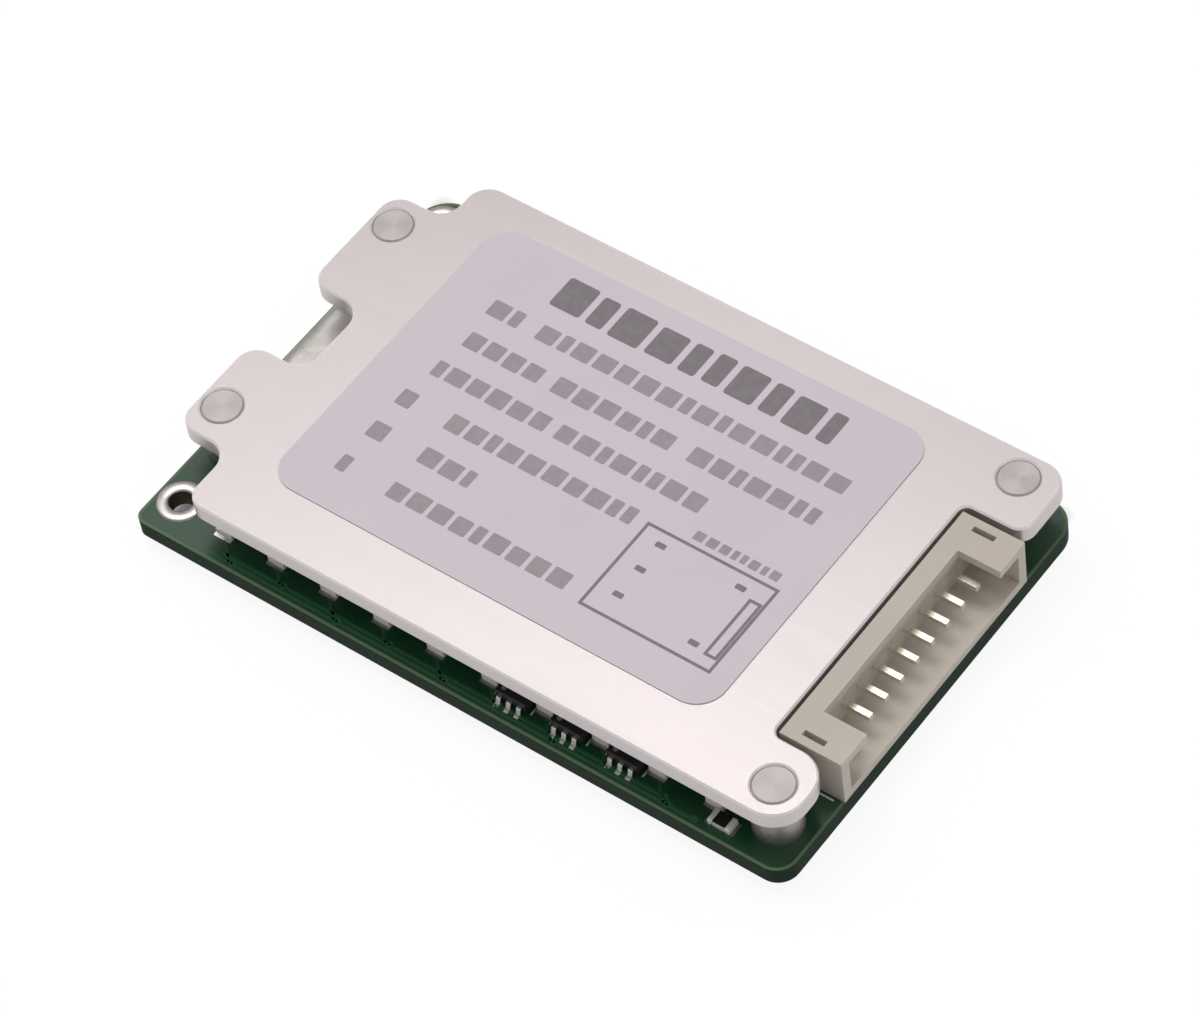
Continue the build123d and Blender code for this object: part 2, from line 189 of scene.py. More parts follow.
def seen_directly(finish):
    """1 for what the camera sees, straight on, in gloss or through glass, and 0 for light on the object."""
    rays = finish.node("ShaderNodeLightPath", {}, {}).link.node
    kinds = ("Is Camera Ray", "Is Glossy Ray", "Is Transmission Ray")
    direct, glossy, through = [Socket(finish, rays.outputs[kind]) for kind in kinds]
    return direct + glossy + through


floor_size = 4.0
floor_drop = 0.00002
floor_white = (0.86, 0.86, 0.86)
white_share = 0.85
white_strength = 1.06
under_low = (-0.0325, -0.0178)
under_high = (0.0290, 0.0211)
under_blur = 0.001
bpy.ops.object.select_all(action="DESELECT")
bpy.ops.mesh.primitive_plane_add(size=floor_size, location=(0, 0, -floor_drop))
floor = bpy.context.object
floor.name = "table_top"
table_finish = new_finish("white_table", Base_Color=floor_white, Roughness=0.9)
white_card = table_finish.node("ShaderNodeEmission", {}, {"Color": (1, 1, 1), "Strength": white_strength})
table_axes = table_finish.axes(table_finish.spot())
under_x, under_y = [
    along.over(low, under_blur) * (1 - along.over(high, under_blur))
    for along, low, high in zip(table_axes, under_low, under_high)
]
shows_white = seen_directly(table_finish) * (1 - under_x * under_y) * white_share
table_output = table_finish.tree.nodes["Material Output"]
painted = Socket(table_finish, table_finish.shader.outputs[0])
mixed = table_finish.node("ShaderNodeMixShader", {}, {0: shows_white, 1: painted, 2: white_card})
table_finish.feed(table_output.inputs["Surface"], mixed)
floor.data.materials.append(table_finish.material)

tent_colour = (1.0, 0.985, 0.98)
tent_low = 0.40
tent_high = 0.98
bright_from_y = -0.15
bright_from_z = 0.215
rise_with_y = 1.3
world = bpy.data.worlds.new("photo_tent")
world.use_nodes = True
bpy.context.scene.world = world
tent = Finish(world.node_tree, world.node_tree.nodes["Background"])
sky = tent.axes(tent.node("ShaderNodeTexCoord", {}, {}, "Generated"))
beyond = sky[1].over(bright_from_y, 0.6)
is_bright = (sky[2] - sky[1].at_least(0) * rise_with_y).over(bright_from_z, 0.25) * beyond
tent.set(Color=tent_colour, Strength=is_bright * (tent_high - tent_low) + tent_low)

softbox_place = Vector((-0.22, 0.08, 0.60))
softbox_size = (0.40, 0.25)
softbox_watts = 1.27
softbox_colour = (1.0, 0.975, 0.96)
bpy.ops.object.light_add(type="AREA", location=softbox_place)
softbox = bpy.context.object
softbox.name = "softbox"
softbox.rotation_euler = (board_middle - softbox_place).to_track_quat("-Z", "Y").to_euler()
softbox.data.shape = "RECTANGLE"
softbox.data.size, softbox.data.size_y = softbox_size
softbox.data.energy = softbox_watts
softbox.data.color = softbox_colour


# The circuit board
# Glass laminate with copper tracks under a glossy green solder mask. The mask stops a little short of
# the routed edge, where the pale laminate shows, and the wire holes are plated through. The laminate
# margin is painted lighter as a painted highlight of the top edge, the side faces are painted near
# black as painted shade, and the hole walls are painted dark brown as flux residue and painted shade.


def dress(finish, *names):
    """Gives CAD nodes their finish."""
    for name in names:
        slots = nodes[name].material_slots
        for place in slots:
            place.material = finish.material
        if not slots:
            nodes[name].data.materials.append(finish.material)


mask_green = (0.009, 0.066, 0.024)
mask_green_deep = (0.006, 0.049, 0.018)
# Bare laminate where the mask stops, painted lighter still as a painted highlight of the top edge.
laminate_and_painted_highlight = (0.13, 0.19, 0.11)
# Painted shade: the board's side faces are painted near black, with faint flecks of the weave.
side_painted_shade = (0.006, 0.020, 0.009)
side_painted_shade_fleck = (0.012, 0.032, 0.016)
# The hole walls are painted dark brown: flux residue and painted shade down the hole.
flux_and_painted_shade_hole_colour = (0.11, 0.085, 0.06)
mask_margin = 0.00025
hole_wall_radius = 0.0011
near_left_round = 0.0010
near_right_round = 0.0018
far_left_round = 0.0028
far_right_round = 0.0026
board_low, board_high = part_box("circuit_board")
board_top = board_high.z
board_bottom = board_low.z
wire_hole_boxes = [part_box("near_wire_hole_rings"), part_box("far_wire_hole_rings")]

board_finish = new_finish("solder_mask", Specular_IOR_Level=0.1, Coat_Roughness=0.28, Coat_IOR=1.52)
x, y, z = board_finish.axes(board_finish.spot())
mottle = board_finish.noise(0.004, 3)
weave = board_finish.noise(0.0009, 1, board_finish.stretched((1, 3, 1)))
facing = board_finish.axes(board_finish.normal())[2]
is_side = 1 - abs(facing).over(0.5, 0.2)
is_right, is_far = x.over(0, 0.001), y.over(0, 0.001)
near_round = near_left_round + is_right * (near_right_round - near_left_round)
far_round = far_left_round + is_right * (far_right_round - far_left_round)
corner_round = near_round + is_far * (far_round - near_round)
beyond_x = abs(x) + corner_round - board_high.x
beyond_y = abs(y) + corner_round - board_high.y
out_x, out_y = beyond_x.at_least(0), beyond_y.at_least(0)
from_edge = corner_round - (out_x * out_x + out_y * out_y).math("SQRT")
is_margin = 1 - from_edge.over(mask_margin, 0.00008)
mask_colour = board_finish.mix(mottle, mask_green_deep, mask_green)
# The side faces take the painted shade colour.
side_painted_shade_colour = board_finish.mix(weave, side_painted_shade, side_painted_shade_fleck)
# The margin takes the laminate colour with its painted highlight.
surface = board_finish.mix(is_margin, mask_colour, laminate_and_painted_highlight)
surface = board_finish.mix(is_side, surface, side_painted_shade_colour)
plated = 0
for low, high in wire_hole_boxes:
    middle = (low + high) / 2
    reach = (x - middle.x) * (x - middle.x) + (y - middle.y) * (y - middle.y)
    plated = (1 - reach.over(hole_wall_radius ** 2, 1e-8)) + plated
# The hole walls take the flux and painted shade colour.
surface = board_finish.mix(plated, surface, flux_and_painted_shade_hole_colour)
is_bare = is_side.at_least(is_margin)
board_finish.set(Base_Color=surface, Metallic=plated * 0.6)
board_finish.set(Roughness=0.35 + 0.3 * is_bare, Coat_Weight=1 - is_bare)
board_finish.bump(weave, 0.000006)
dress(board_finish, "circuit_board")


# Copper tracks under the mask, on both faces, with their vias
# Etched copper raises the solder mask a little. On the underside ten tracks fan out from the balance
# socket's joints to the ten channels along the near edge; on top two long tracks run along that edge.


def solids_of(node):
    """The lowest and highest corner of each separate solid in a CAD node."""
    mesh = bmesh.new()
    mesh.from_mesh(nodes[node].data)
    bmesh.ops.remove_doubles(mesh, verts=mesh.verts, dist=1e-7)
    boxes, waiting = [], set(mesh.verts)
    while waiting:
        group, reached = [], [waiting.pop()]
        while reached:
            vert = reached.pop()
            group.append(vert.co.copy())
            for edge in vert.link_edges:
                other = edge.other_vert(vert)
                if other in waiting:
                    waiting.remove(other)
                    reached.append(other)
        boxes.append(tuple(Vector([extreme(point[axis] for point in group) for axis in range(3)])
                           for extreme in (min, max)))
    mesh.free()
    return sorted(boxes, key=lambda box: (round(box[0].x, 5), round(box[0].y, 5)))


def flat_strips(paths, width, thickness, level, upward):
    """One low strip along each path of (x, y) points, on a face of the board."""
    bpy.ops.object.select_all(action="DESELECT")
    bpy.ops.curve.primitive_bezier_curve_add()
    route = bpy.context.object
    route.data.dimensions = "3D"
    route.data.splines.clear()
    for path in paths:
        spline = route.data.splines.new("POLY")
        spline.points.add(len(path) - 1)
        for point, (px, py) in zip(spline.points, path):
            point.co = (px, py, level, 1)
    bpy.ops.mesh.primitive_plane_add(size=1)
    profile = bpy.context.object
    bpy.ops.object.convert(target="CURVE")
    profile.data.splines.clear()
    outline = profile.data.splines.new("POLY")
    outline.points.add(3)
    half, rise = width / 2, thickness * upward
    corners = [(-half, 0), (half, 0), (0.8 * half, rise), (-0.8 * half, rise)]
    for point, (px, py) in zip(outline.points, corners):
        point.co = (px, py, 0, 1)
    outline.use_cyclic_u = True
    route.data.bevel_mode = "OBJECT"
    route.data.bevel_object = profile
    route.data.use_fill_caps = True
    bpy.ops.object.select_all(action="DESELECT")
    route.select_set(True)
    bpy.context.view_layer.objects.active = route
    bpy.ops.object.convert(target="MESH")
    bpy.data.objects.remove(profile)
    return bpy.context.object


def pick(piece, kind, test):
    """In edit mode, selects only the verts, edges or faces that pass the test."""
    modes = {"verts": "VERT", "edges": "EDGE", "faces": "FACE"}
    bpy.ops.mesh.select_mode(type=modes[kind])
    bpy.ops.mesh.select_all(action="DESELECT")
    mesh = bmesh.from_edit_mesh(piece.data)
    for item in getattr(mesh, kind):
        item.select_set(test(item))
    mesh.select_flush_mode()
    bmesh.update_edit_mesh(piece.data)


def join(pieces):
    bpy.ops.object.select_all(action="DESELECT")
    for piece in pieces:
        piece.select_set(True)
    bpy.context.view_layer.objects.active = pieces[0]
    bpy.ops.object.join()
    return bpy.context.object


def copy_to(piece, places):
    """One joined piece from copies of a piece, each moved, turned about Z and with its own mesh."""
    copies = []
    for place, turn in places:
        copy = piece.copy()
        copy.data = piece.data.copy()
        bpy.context.scene.collection.objects.link(copy)
        copy.location = place
        copy.rotation_euler = (0, 0, turn)
        copies.append(copy)
    bpy.data.objects.remove(piece)
    return join(copies)


def finish_piece(piece, name, finish, replaced=(), smooth_degrees=35):
    """Names a new piece, sets it at the origin, and gives it its finish and its body."""
    bpy.ops.object.select_all(action="DESELECT")
    piece.select_set(True)
    bpy.context.view_layer.objects.active = piece
    bpy.ops.object.transform_apply(location=True, rotation=True, scale=True)
    if smooth_degrees:
        bpy.ops.object.shade_smooth_by_angle(angle=math.radians(smooth_degrees))
    else:
        bpy.ops.object.shade_flat()
    piece.name = name
    piece.data.name = name
    piece.data.materials.clear()
    piece.data.materials.append(finish.material)
    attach(piece, "root")
    if replaced:
        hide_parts(*replaced)
    return piece


track_width = 0.0003
track_height = 0.000035
channel_boxes = solids_of("bleed_resistors")
channel_places = [(low + high) / 2 for low, high in channel_boxes]
joint_places = sorted([(low + high) / 2 for low, high in solids_of("pin_solder_joints")], key=lambda p: p.y)
track_end_y = -0.0118
lane_inset = 0.0007
lane_pitch = 0.00045
pad_gap = 0.0004
long_lanes = [(-0.0245, 0.0225), (-0.0228, 0.0195)]
under_paths = []
for joint, channel in zip(joint_places, reversed(channel_places)):
    drop = joint.y - track_end_y
    turn_x = channel.x + drop
    if turn_x < joint.x:
        under_paths.append([(joint.x, joint.y), (turn_x, joint.y), (channel.x, track_end_y)])
    else:
        slant = joint.x - channel.x
        under_paths.append([(joint.x, joint.y), (channel.x, joint.y - slant), (channel.x, track_end_y)])
top_paths = []
near_edge = board_low.y
for lane, (start, stop) in enumerate(long_lanes):
    lane_y = near_edge + lane_inset + lane_pitch * lane
    top_paths.append([(start, lane_y), (stop, lane_y)])
for number, place in enumerate(channel_places):
    lane_y = near_edge + lane_inset + lane_pitch * (number % 2)
    low_y = channel_boxes[number][0].y - pad_gap
    turn_x = place.x + low_y - lane_y
    top_paths.append([(place.x, low_y), (turn_x, lane_y), (turn_x + pad_gap, lane_y)])

track_finish = new_finish("mask_over_copper", IOR=1.52, Roughness=0.3)
track_mottle = track_finish.noise(0.003, 2)
track_finish.set(Base_Color=track_finish.mix(track_mottle, (0.014, 0.088, 0.034), (0.018, 0.104, 0.042)))
top_tracks = flat_strips(top_paths, track_width, track_height, board_top, 1)
finish_piece(top_tracks, "top_tracks", track_finish, smooth_degrees=0)
under_tracks = flat_strips(under_paths, track_width, track_height, board_bottom, -1)
finish_piece(under_tracks, "under_tracks", track_finish, smooth_degrees=0)

via_radius = 0.00035
via_height = 0.00004


def via_ring(level, upward):
    """A small tented via: a low disc with a dimple in its middle."""
    bpy.ops.object.select_all(action="DESELECT")
    bpy.ops.mesh.primitive_cylinder_add(vertices=20, radius=via_radius, depth=via_height)
    piece = bpy.context.object
    bpy.ops.object.mode_set(mode="EDIT")
    pick(piece, "faces", lambda face: face.normal.z * upward > 0.9)
    bpy.ops.mesh.inset(thickness=0.45 * via_radius)
    bpy.ops.mesh.inset(thickness=0.15 * via_radius, depth=-0.6 * via_height)
    bpy.ops.object.mode_set(mode="OBJECT")
    piece.location.z = level + upward * via_height / 2
    bpy.ops.object.transform_apply(location=True, rotation=True, scale=True)
    return piece


under_vias = [((path[-1][0], path[-1][1], 0), 0) for path in under_paths]
top_vias = [((path[-1][0], path[-1][1], 0), 0) for path in top_paths]
under_via_rings = copy_to(via_ring(board_bottom, -1), under_vias)
finish_piece(under_via_rings, "under_vias", track_finish, smooth_degrees=0)
top_via_rings = copy_to(via_ring(board_top, 1), top_vias)
finish_piece(top_via_rings, "top_vias", track_finish, smooth_degrees=0)


# Wire terminals
# Two plated holes with rings, and a flat pad between the plate's tabs. All are hot tinned, so the
# solder stands on them in a low, slightly uneven dome.
solder_finish = new_finish("solder", Metallic=1.0, Base_Color=(0.54, 0.515, 0.495))
solder_cloud = solder_finish.noise(0.0011, 3)
solder_finish.set(Roughness=0.24 + 0.22 * solder_cloud)
solder_finish.bump(solder_cloud, 0.00004, 0.6)


def start_box(low, high):
    """A new box between two corners, left in edit mode with all of it selected."""
    bpy.ops.object.select_all(action="DESELECT")
    bpy.ops.mesh.primitive_cube_add(size=1, location=(Vector(low) + Vector(high)) / 2)
    piece = bpy.context.object
    piece.scale = Vector(high) - Vector(low)
    bpy.ops.object.transform_apply(location=True, rotation=True, scale=True)
    bpy.ops.object.mode_set(mode="EDIT")
    return piece


ring_rise = 0.00016
hole_radius = 0.001
sunk = 0.00001
for side, (low, high) in zip(("near", "far"), wire_hole_boxes):
    middle = (low + high) / 2
    outer = (high.x - low.x) / 2
    rings = []
    for level, upward in ((board_top, 1), (board_bottom, -1)):
        bpy.ops.object.select_all(action="DESELECT")
        bpy.ops.mesh.primitive_torus_add(location=(middle.x, middle.y, level), major_segments=64,
                                         minor_segments=20, major_radius=(outer + hole_radius) / 2,
                                         minor_radius=(outer - hole_radius) / 2)
        ring = bpy.context.object
        ring.scale = (1, 1, 2 * ring_rise / (outer - hole_radius))
        bpy.ops.object.transform_apply(location=True, rotation=True, scale=True)
        for vert in ring.data.vertices:
            if (vert.co.z - level) * upward < 0:
                vert.co.z = level - upward * sunk
        rings.append(ring)
    replaced = side + "_wire_hole_rings"
    finish_piece(join(rings), side + "_wire_hole_solder", solder_finish, (replaced,))

pad_rise = 0.00030
pad_corner = 0.0006
pad_shoulder = 0.0009
pads = []
pad_boxes = sorted(solids_of("middle_wire_pads"), key=lambda box: -box[0].z)
for (low, high), upward in zip(pad_boxes, (1, -1)):
    foot = low.z if upward > 0 else high.z
    top = foot + upward * pad_rise
    pad = start_box((low.x, low.y, min(foot, top)), (high.x, high.y, max(foot, top)))
    bpy.ops.mesh.subdivide(number_cuts=27)
    bpy.ops.object.mode_set(mode="OBJECT")
    middle = (low + high) / 2
    half = (high - low) / 2
    for vert in pad.data.vertices:
        from_middle = vert.co - middle
        beyond_x = max(0, abs(from_middle.x) - half.x + pad_corner)
        beyond_y = max(0, abs(from_middle.y) - half.y + pad_corner)
        out = Vector((beyond_x, beyond_y))
        if out.length > pad_corner:
            pulled = out * (pad_corner / out.length)
            vert.co.x -= math.copysign(out.x - pulled.x, from_middle.x)
            vert.co.y -= math.copysign(out.y - pulled.y, from_middle.y)
            out = pulled
        to_edge = pad_corner - out.length
        if not out.length:
            to_edge = min(half.x - abs(from_middle.x), half.y - abs(from_middle.y))
        shoulder = 1 - min(1, max(0, to_edge) / pad_shoulder)
        wave = 0.10 * math.sin(900 * vert.co.x + 1.3) * math.sin(620 * vert.co.y + 0.4)
        fullness = math.sqrt(max(0, 1 - shoulder * shoulder)) * (0.9 + wave)
        vert.co.z = foot + (vert.co.z - foot) * (0.25 + 0.75 * fullness)
    pads.append(pad)
finish_piece(join(pads), "middle_pad_solder", solder_finish, ("middle_wire_pads",))
dress(solder_finish, "pin_solder_joints")


# Small parts on the board
# Chip resistors and capacitors, small moulded chips and their tinned ends and leads, each soldered
# with a little fillet on its pad.
tin_finish = new_finish("tinned_copper", Metallic=1.0, Base_Color=(0.76, 0.75, 0.71))
tin_cloud = tin_finish.noise(0.0005, 2)
tin_finish.set(Roughness=0.3 + 0.2 * tin_cloud)
tin_finish.bump(tin_cloud, 0.00001)
lead_nodes = [name for name in nodes if name.endswith(("_frame", "_leads"))]
dress(tin_finish, *lead_nodes)

# The tinned ends are painted near white and less metallic: a painted glint that keeps them pale in the
# plate's shade.
tinned_ends_painted_glint_finish = new_finish("tinned_ends_painted_glint", Metallic=0.3, Base_Color=(0.92, 0.91, 0.88))
end_cloud = tinned_ends_painted_glint_finish.noise(0.0005, 2)
tinned_ends_painted_glint_finish.set(Roughness=0.35 + 0.2 * end_cloud)
tinned_ends_painted_glint_finish.bump(end_cloud, 0.00001)
end_nodes = [name for name in nodes if name.endswith("_ends")]
dress(tinned_ends_painted_glint_finish, *end_nodes)

epoxy_finish = new_finish("black_epoxy", Base_Color=(0.022, 0.022, 0.024), IOR=1.5)
epoxy_grain = epoxy_finish.noise(0.00012, 2)
epoxy_finish.set(Roughness=0.42 + 0.2 * epoxy_grain)
epoxy_finish.bump(epoxy_grain, 0.000008)
epoxy_nodes = [name for name in nodes if name.endswith(("_chip", "_chips", "_transistors", "surge_diode"))
               or name.endswith(("_1", "_2", "_3"))]
dress(epoxy_finish, *epoxy_nodes)

resistor_finish = new_finish("resistor_ceramic", IOR=1.5)
resistor_up = resistor_finish.axes(resistor_finish.normal())[2]
coated = resistor_up.over(0.8, 0.1)
resistor_finish.set(Base_Color=resistor_finish.mix(coated, (0.62, 0.61, 0.58), (0.016, 0.016, 0.018)),
                    Roughness=0.55 - 0.3 * coated)
dress(resistor_finish, "bleed_resistors", "filter_resistors", "shunt_resistors")
dress(resistor_finish, "edge_resistor", "thermistor")

capacitor_finish = new_finish("capacitor_ceramic", Roughness=0.4, IOR=1.5)
capacitor_speckle = capacitor_finish.noise(0.0001, 2)
capacitor_colour = capacitor_finish.mix(capacitor_speckle, (0.36, 0.25, 0.15), (0.46, 0.33, 0.21))
capacitor_finish.set(Base_Color=capacitor_colour)
dress(capacitor_finish, "filter_capacitors")


def solder_toe(length, width, rise):
    """One fillet that faces +X: a low block whose top falls to the pad in a hollow curve."""
    piece = start_box((0, -width / 2, 0), (length, width / 2, rise))
    pick(piece, "verts", lambda vert: vert.co.x > 0.9 * length and vert.co.z > 0.9 * rise)
    bpy.ops.transform.translate(value=(0, 0, -0.9 * rise))
    bpy.ops.mesh.select_all(action="SELECT")
    bpy.ops.mesh.subdivide(number_cuts=3)
    bpy.ops.object.mode_set(mode="OBJECT")
    for vert in piece.data.vertices:
        along = vert.co.x / length
        vert.co.z *= 1 - 0.45 * math.sin(math.pi * along)
        vert.co.y *= 1 - 0.12 * along
    return piece


def outward_feet(metal_node, body_node):
    """Each metal solid's box with its way out: away from its body, or along Y for a lead."""
    feet = []
    middles = [(low + high) / 2 for low, high in solids_of(body_node)]
    for low, high in solids_of(metal_node):
        foot = (low + high) / 2
        body = min(middles, key=lambda place: (place - foot).length)
        away = foot - body
        is_lead = metal_node.endswith("_leads")
        if abs(away.x) > abs(away.y) and not is_lead:
            feet.append((low, high, Vector((math.copysign(1, away.x), 0))))
        else:
            feet.append((low, high, Vector((0, math.copysign(1, away.y)))))
    return feet


def solder_feet(name, feet, share, toe, rise):
    """Solder on feet of one size. It stands on a share of each foot's length and runs out by the toe."""
    places = []
    for low, high, outward in feet:
        size = high - low
        middle = (low + high) / 2
        reach, width = (size.x, size.y) if outward.x else (size.y, size.x)
        start = middle.xy + outward * reach * (0.5 - share)
        places.append(((start.x, start.y, board_top), math.atan2(outward.y, outward.x)))
    fillet = solder_toe(share * reach + toe, 1.15 * width, rise)
    return finish_piece(copy_to(fillet, places), name, solder_finish, smooth_degrees=50)


for stem, body in (("bleed_resistor", "bleed_resistors"), ("filter_resistor", "filter_resistors"),
                   ("filter_capacitor", "filter_capacitors"), ("shunt_resistor", "shunt_resistors"),
                   ("edge_resistor", "edge_resistor"), ("thermistor", "thermistor")):
    solder_feet(stem + "_solder", outward_feet(stem + "_ends", body), 1.0, 0.0003, 0.0003)
for stem, body in (("balance_transistor", "balance_transistors"), ("edge_chip", "edge_chips"),
                   ("lower_monitor_chip", "lower_monitor_chip"),
                   ("upper_monitor_chip", "upper_monitor_chip")):
    solder_feet(stem + "_solder", outward_feet(stem + "_leads", body), 0.45, 0.0002, 0.00012)

dot_radius = 0.00022
dot_height = 0.00001
dot_inset = Vector((0.0006, 0.0005))
dots = []
for chip in ("lower_monitor_chip", "upper_monitor_chip", "edge_chips"):
    for low, high in solids_of(chip):
        dots.append(((low.x + dot_inset.x, low.y + dot_inset.y, high.z + dot_height / 2), 0))
bpy.ops.object.select_all(action="DESELECT")
bpy.ops.mesh.primitive_cylinder_add(vertices=24, radius=dot_radius, depth=dot_height)
dot = bpy.context.object
bpy.ops.object.mode_set(mode="EDIT")
pick(dot, "faces", lambda face: face.normal.z > 0.9)
bpy.ops.mesh.inset(thickness=0.25 * dot_radius, depth=0.4 * dot_height)
bpy.ops.object.mode_set(mode="OBJECT")
dot_finish = new_finish("chip_marking", Roughness=0.6)
dot_wear = dot_finish.noise(0.0001, 2)
dot_finish.set(Base_Color=dot_finish.mix(dot_wear, (0.20, 0.20, 0.20), (0.36, 0.36, 0.36)))
finish_piece(copy_to(dot, dots), "pin_one_dots", dot_finish, smooth_degrees=0)

silk_width = 0.00016
silk_height = 0.000018
silk_gap = 0.0003
silk_inset = 0.0001
silk_paths = []
for chip in ("lower_monitor_chip", "upper_monitor_chip", "surge_diode", "edge_chips", "edge_resistor"):
    for low, high in solids_of(chip):
        for side_x in (low.x - silk_gap, high.x + silk_gap):
            silk_paths.append([(side_x, low.y + silk_inset), (side_x, high.y - silk_inset)])
socket_low, socket_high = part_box("balance_socket_housing")
for line_y in (socket_low.y - silk_gap, socket_high.y + silk_gap):
    silk_paths.append([(socket_high.x - 0.0008, line_y), (socket_low.x - 0.0002, line_y)])
silk = flat_strips(silk_paths, silk_width, silk_height, board_top, 1)
silk_finish = new_finish("silkscreen_white", Roughness=0.55)
silk_wear = silk_finish.noise(0.0004, 3)
silk_finish.set(Base_Color=silk_finish.mix(silk_wear, (0.55, 0.57, 0.53), (0.68, 0.70, 0.66)))
finish_piece(silk, "silkscreen_lines", silk_finish, smooth_degrees=0)


# Power transistors and their thermal pad
# Six moulded transistors in two groups, with their tabs and leads soldered to the board. The pad is a
# soft silicone sheet with woven glass in it, pressed between the moulded bodies and the plate.
silicone_finish = new_finish("silicone_sheet", Roughness=0.7, IOR=1.42)
px, py, pz = silicone_finish.axes(silicone_finish.spot())
thread = 0.0006
threads = (px * (2 * math.pi / thread)).math("SINE") * (py * (2 * math.pi / thread)).math("SINE")
silicone_cloud = silicone_finish.noise(0.003, 2)
silicone_finish.set(Base_Color=silicone_finish.mix(silicone_cloud, (0.36, 0.42, 0.50), (0.44, 0.50, 0.58)))
silicone_finish.bump(threads, 0.00001)
dress(silicone_finish, "thermal_pad")

tab_feet, lead_feet = [], []
for frame_node in [name for name in nodes if name.endswith("_frame")]:
    metal = sorted(solids_of(frame_node), key=lambda box: (box[1] - box[0]).x)
    tab_feet.append((*metal[-1], Vector((0, 1))))
    on_the_board = [box for box in metal[:-1] if box[0].z < board_top + 0.0001]
    lead_feet += [(*box, Vector((0, -1))) for box in on_the_board]
solder_feet("transistor_tab_solder", tab_feet, 0.16, 0.0007, 0.00035)
solder_feet("transistor_lead_solder", lead_feet, 0.45, 0.0004, 0.00035)


# Balance socket
# A side-entry header moulded in natural nylon, a little milky, with its mouth at the board's edge. Its
# eleven tin-plated square pins are bent down through the board and soldered below.
nylon_finish = new_finish("natural_nylon", IOR=1.53, Subsurface_Weight=0.25, Subsurface_Scale=0.0015,
                          Subsurface_Radius=(1.0, 0.9, 0.6))
nylon_cloud = nylon_finish.noise(0.005, 2)
nylon_grain = nylon_finish.noise(0.00015, 2)
nylon_finish.set(Base_Color=nylon_finish.mix(nylon_cloud, (0.53, 0.475, 0.415), (0.59, 0.535, 0.475)),
                 Roughness=0.4 + 0.15 * nylon_grain)
nylon_finish.bump(nylon_grain, 0.000005)
dress(nylon_finish, "balance_socket_housing")

pin_finish = new_finish("tinned_pin", Metallic=1.0, Base_Color=(0.86, 0.83, 0.76))
pin_streak = pin_finish.noise(0.0004, 2, pin_finish.stretched((0.15, 1, 1)))
pin_finish.set(Roughness=0.18 + 0.2 * pin_streak)
dress(pin_finish, "balance_socket_pins")


# Screws and posts
# Small zinc-plated pan-head screws come up through the board into turned posts, which are pressed
# into the plate so that their ends lie flush in its top.
zinc_finish = new_finish("zinc_plate", Metallic=1.0, Base_Color=(0.66, 0.66, 0.68))
zinc_cloud = zinc_finish.noise(0.0006, 3)
zinc_finish.set(Roughness=0.28 + 0.2 * zinc_cloud)
zinc_finish.bump(zinc_cloud, 0.000008)
dress(zinc_finish, *[name for name in nodes if name.endswith("_screw")])

tool_mark = 0.00011
post_nodes = [name for name in nodes if name.endswith("_post")]
for name in post_nodes:
    low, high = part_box(name)
    middle = (low + high) / 2
    post_finish = new_finish("turned_" + name, Metallic=1.0)
    mx, my, mz = post_finish.axes(post_finish.spot())
    from_axis = (mx - middle.x) * (mx - middle.x) + (my - middle.y) * (my - middle.y)
    rings = (from_axis.math("SQRT") * (2 * math.pi / tool_mark)).math("SINE")
    turned = post_finish.noise(0.0005, 2)
    post_finish.set(Base_Color=post_finish.mix(turned, (0.44, 0.41, 0.40), (0.51, 0.475, 0.465)),
                    Roughness=0.42 + 0.14 * turned)
    post_finish.bump(rings, 0.000004)
    dress(post_finish, name)


# Heat spreader plate
# Punched from 1.5 mm aluminium sheet, fine blasted to a satin, with the edges just broken. The broken
# edges are painted pale and less metallic: a painted highlight along them.
plate_finish = new_finish("satin_aluminium")
blast_grain = plate_finish.noise(0.00010, 3)
rolling = plate_finish.noise(0.0016, 3, plate_finish.stretched((0.06, 1, 1)))
plate_cloud = plate_finish.noise(0.014, 2)
plate_up = plate_finish.axes(plate_finish.normal())[2]
is_broken_edge = plate_up.over(0.35, 0.2) * (1 - plate_up.over(0.95, 0.05))
plate_colour = plate_finish.mix(plate_cloud, (0.560, 0.512, 0.520), (0.596, 0.547, 0.555))
# Painted highlight: the broken edges are painted pale and less metallic than the flat faces.
broken_edge_painted_highlight = (0.90, 0.87, 0.86)
plate_finish.set(Base_Color=plate_finish.mix(is_broken_edge, plate_colour, broken_edge_painted_highlight),
                 Metallic=0.75 - 0.45 * is_broken_edge, Roughness=0.31 + 0.10 * rolling)
plate_finish.bump(blast_grain * 0.7 + rolling * 0.5, 0.000010)
dress(plate_finish, "heat_spreader_plate")


# Label
# A semi-gloss paper sticker with rounded corners, stuck on the plate. It is printed with plain blocks
# in rows and with one outline drawing.
label_low, label_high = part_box("spec_label")
label_top = label_high.z
label_finish = new_finish("label_paper", IOR=1.45, Coat_Weight=0.15, Coat_Roughness=0.35)
label_cloud = label_finish.noise(0.009, 3)
label_fibre = label_finish.noise(0.0002, 3)
label_finish.set(Base_Color=label_finish.mix(label_cloud, (0.665, 0.580, 0.650), (0.705, 0.625, 0.685)),
                 Roughness=0.48 + 0.12 * label_fibre)
label_finish.bump(label_fibre, 0.000006)
dress(label_finish, "spec_label")

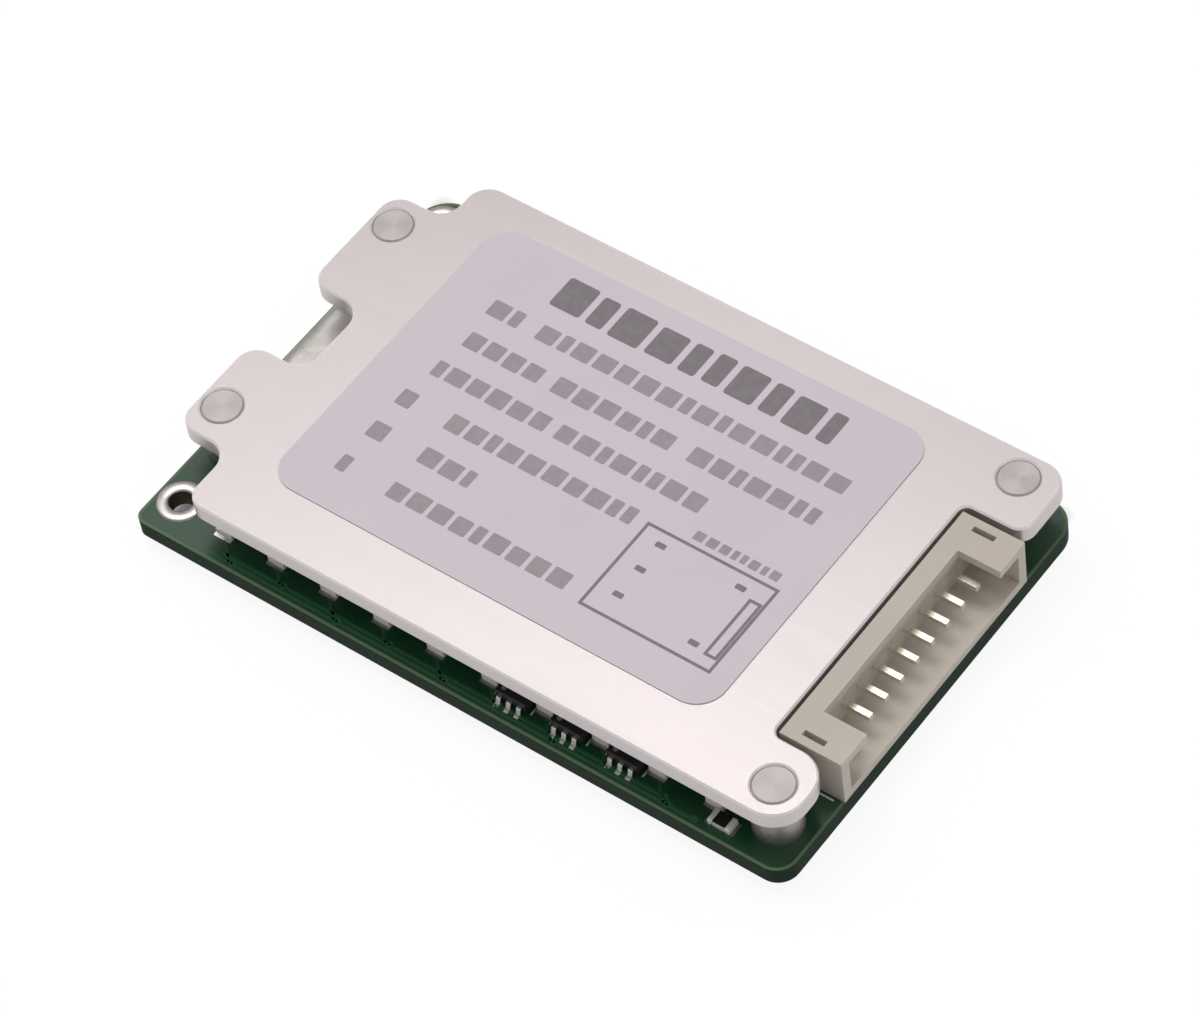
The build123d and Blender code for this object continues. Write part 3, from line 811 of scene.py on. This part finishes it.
ink_height = 0.000012
dark_ink = new_finish("dark_ink", Roughness=0.5, IOR=1.45)
dark_wear = dark_ink.noise(0.0006, 4)
dark_ink.set(Base_Color=dark_ink.mix(dark_wear, (0.17, 0.152, 0.168), (0.26, 0.235, 0.255)))
grey_ink = new_finish("grey_ink", Roughness=0.5, IOR=1.45)
grey_wear = grey_ink.noise(0.0006, 4)
grey_ink.set(Base_Color=grey_ink.mix(grey_wear, (0.29, 0.262, 0.288), (0.39, 0.355, 0.385)))


def is_upright(edge):
    """True for an edge that runs along Z."""
    first, second = (vert.co for vert in edge.verts)
    return abs(first.z - second.z) > 10 * (abs(first.x - second.x) + abs(first.y - second.y))


def printed_block(x_low, x_high, y_low, y_high, rounding):
    """A flat block of ink with rounded corners."""
    piece = start_box((x_low, y_low, label_top), (x_high, y_high, label_top + ink_height))
    pick(piece, "edges", is_upright)
    bpy.ops.mesh.bevel(offset=rounding, segments=3)
    bpy.ops.object.mode_set(mode="OBJECT")
    return piece


def printed_row(middle_y, height, stretches, cell, gap, chooser):
    """A row of ink blocks of uneven width, in stretches along X."""
    blocks = []
    for start, stop in stretches:
        at = start
        while at < stop - 0.4 * cell:
            width = cell * chooser.choice((0.55, 0.9, 1.0, 1.0))
            top = middle_y + height / 2 * chooser.uniform(0.86, 1.0)
            bottom = middle_y - height / 2 * chooser.uniform(0.86, 1.0)
            blocks.append(printed_block(at, min(at + width, stop), bottom, top, 0.08 * height))
            at += width + gap
    return blocks


chooser = random.Random(7)
label_middle = (label_low + label_high) / 2
title_stretch = (-0.0133, 0.0134)
title = printed_row(label_middle.y + 0.0118, 0.0033, [title_stretch], 0.0029, 0.0006, chooser)
finish_piece(join(title), "label_title_blocks", dark_ink, smooth_degrees=0)
row_height = 0.0017
row_cell = 0.0017
row_gap = 0.0004
rows = [
    (0.0077, [(-0.0170, -0.0133), (-0.0122, 0.0170)]),
    (0.0041, [(-0.0166, -0.0093), (-0.0080, 0.0035), (0.0050, 0.0168)]),
    (0.0005, [(-0.0170, -0.0060), (-0.0050, 0.0092)]),
    (-0.0032, [(-0.0176, -0.0162), (-0.0128, 0.0052)]),
    (-0.0069, [(-0.0176, -0.0160), (-0.0126, -0.0076)]),
    (-0.0108, [(-0.0176, -0.0162), (-0.0126, 0.0044)]),
]
blocks = []
for offset, stretches in rows:
    blocks += printed_row(label_middle.y + offset, row_height, stretches, row_cell, row_gap, chooser)
blocks += printed_row(label_middle.y - 0.0020, 0.0009, [(0.0098, 0.0176)], 0.0009, 0.0003, chooser)
finish_piece(join(blocks), "label_text_blocks", grey_ink, smooth_degrees=0)


def printed_outline(x_low, x_high, y_low, y_high, line):
    """A rectangle drawn with four lines."""
    return [printed_block(x_low, x_high, y_low, y_low + line, 0.1 * line),
            printed_block(x_low, x_high, y_high - line, y_high, 0.1 * line),
            printed_block(x_low, x_low + line, y_low + line, y_high - line, 0.1 * line),
            printed_block(x_high - line, x_high, y_low + line, y_high - line, 0.1 * line)]


line_width = 0.00026
drawing = printed_outline(0.0061, 0.0183, -0.0104, -0.0014, line_width)
drawing += printed_outline(0.0168, 0.0180, -0.0092, -0.0032, line_width)
mark_size = Vector((0.0009, 0.0005))
left_marks = [(0.0078, -0.0030), (0.0078, -0.0056), (0.0078, -0.0084)]
right_marks = [(0.0152, -0.0030), (0.0152, -0.0090)]
for mark_x, mark_y in left_marks + right_marks:
    drawing.append(printed_block(mark_x, mark_x + mark_size.x, mark_y, mark_y + mark_size.y, 0.0001))
finish_piece(join(drawing), "label_drawing", dark_ink, smooth_degrees=0)
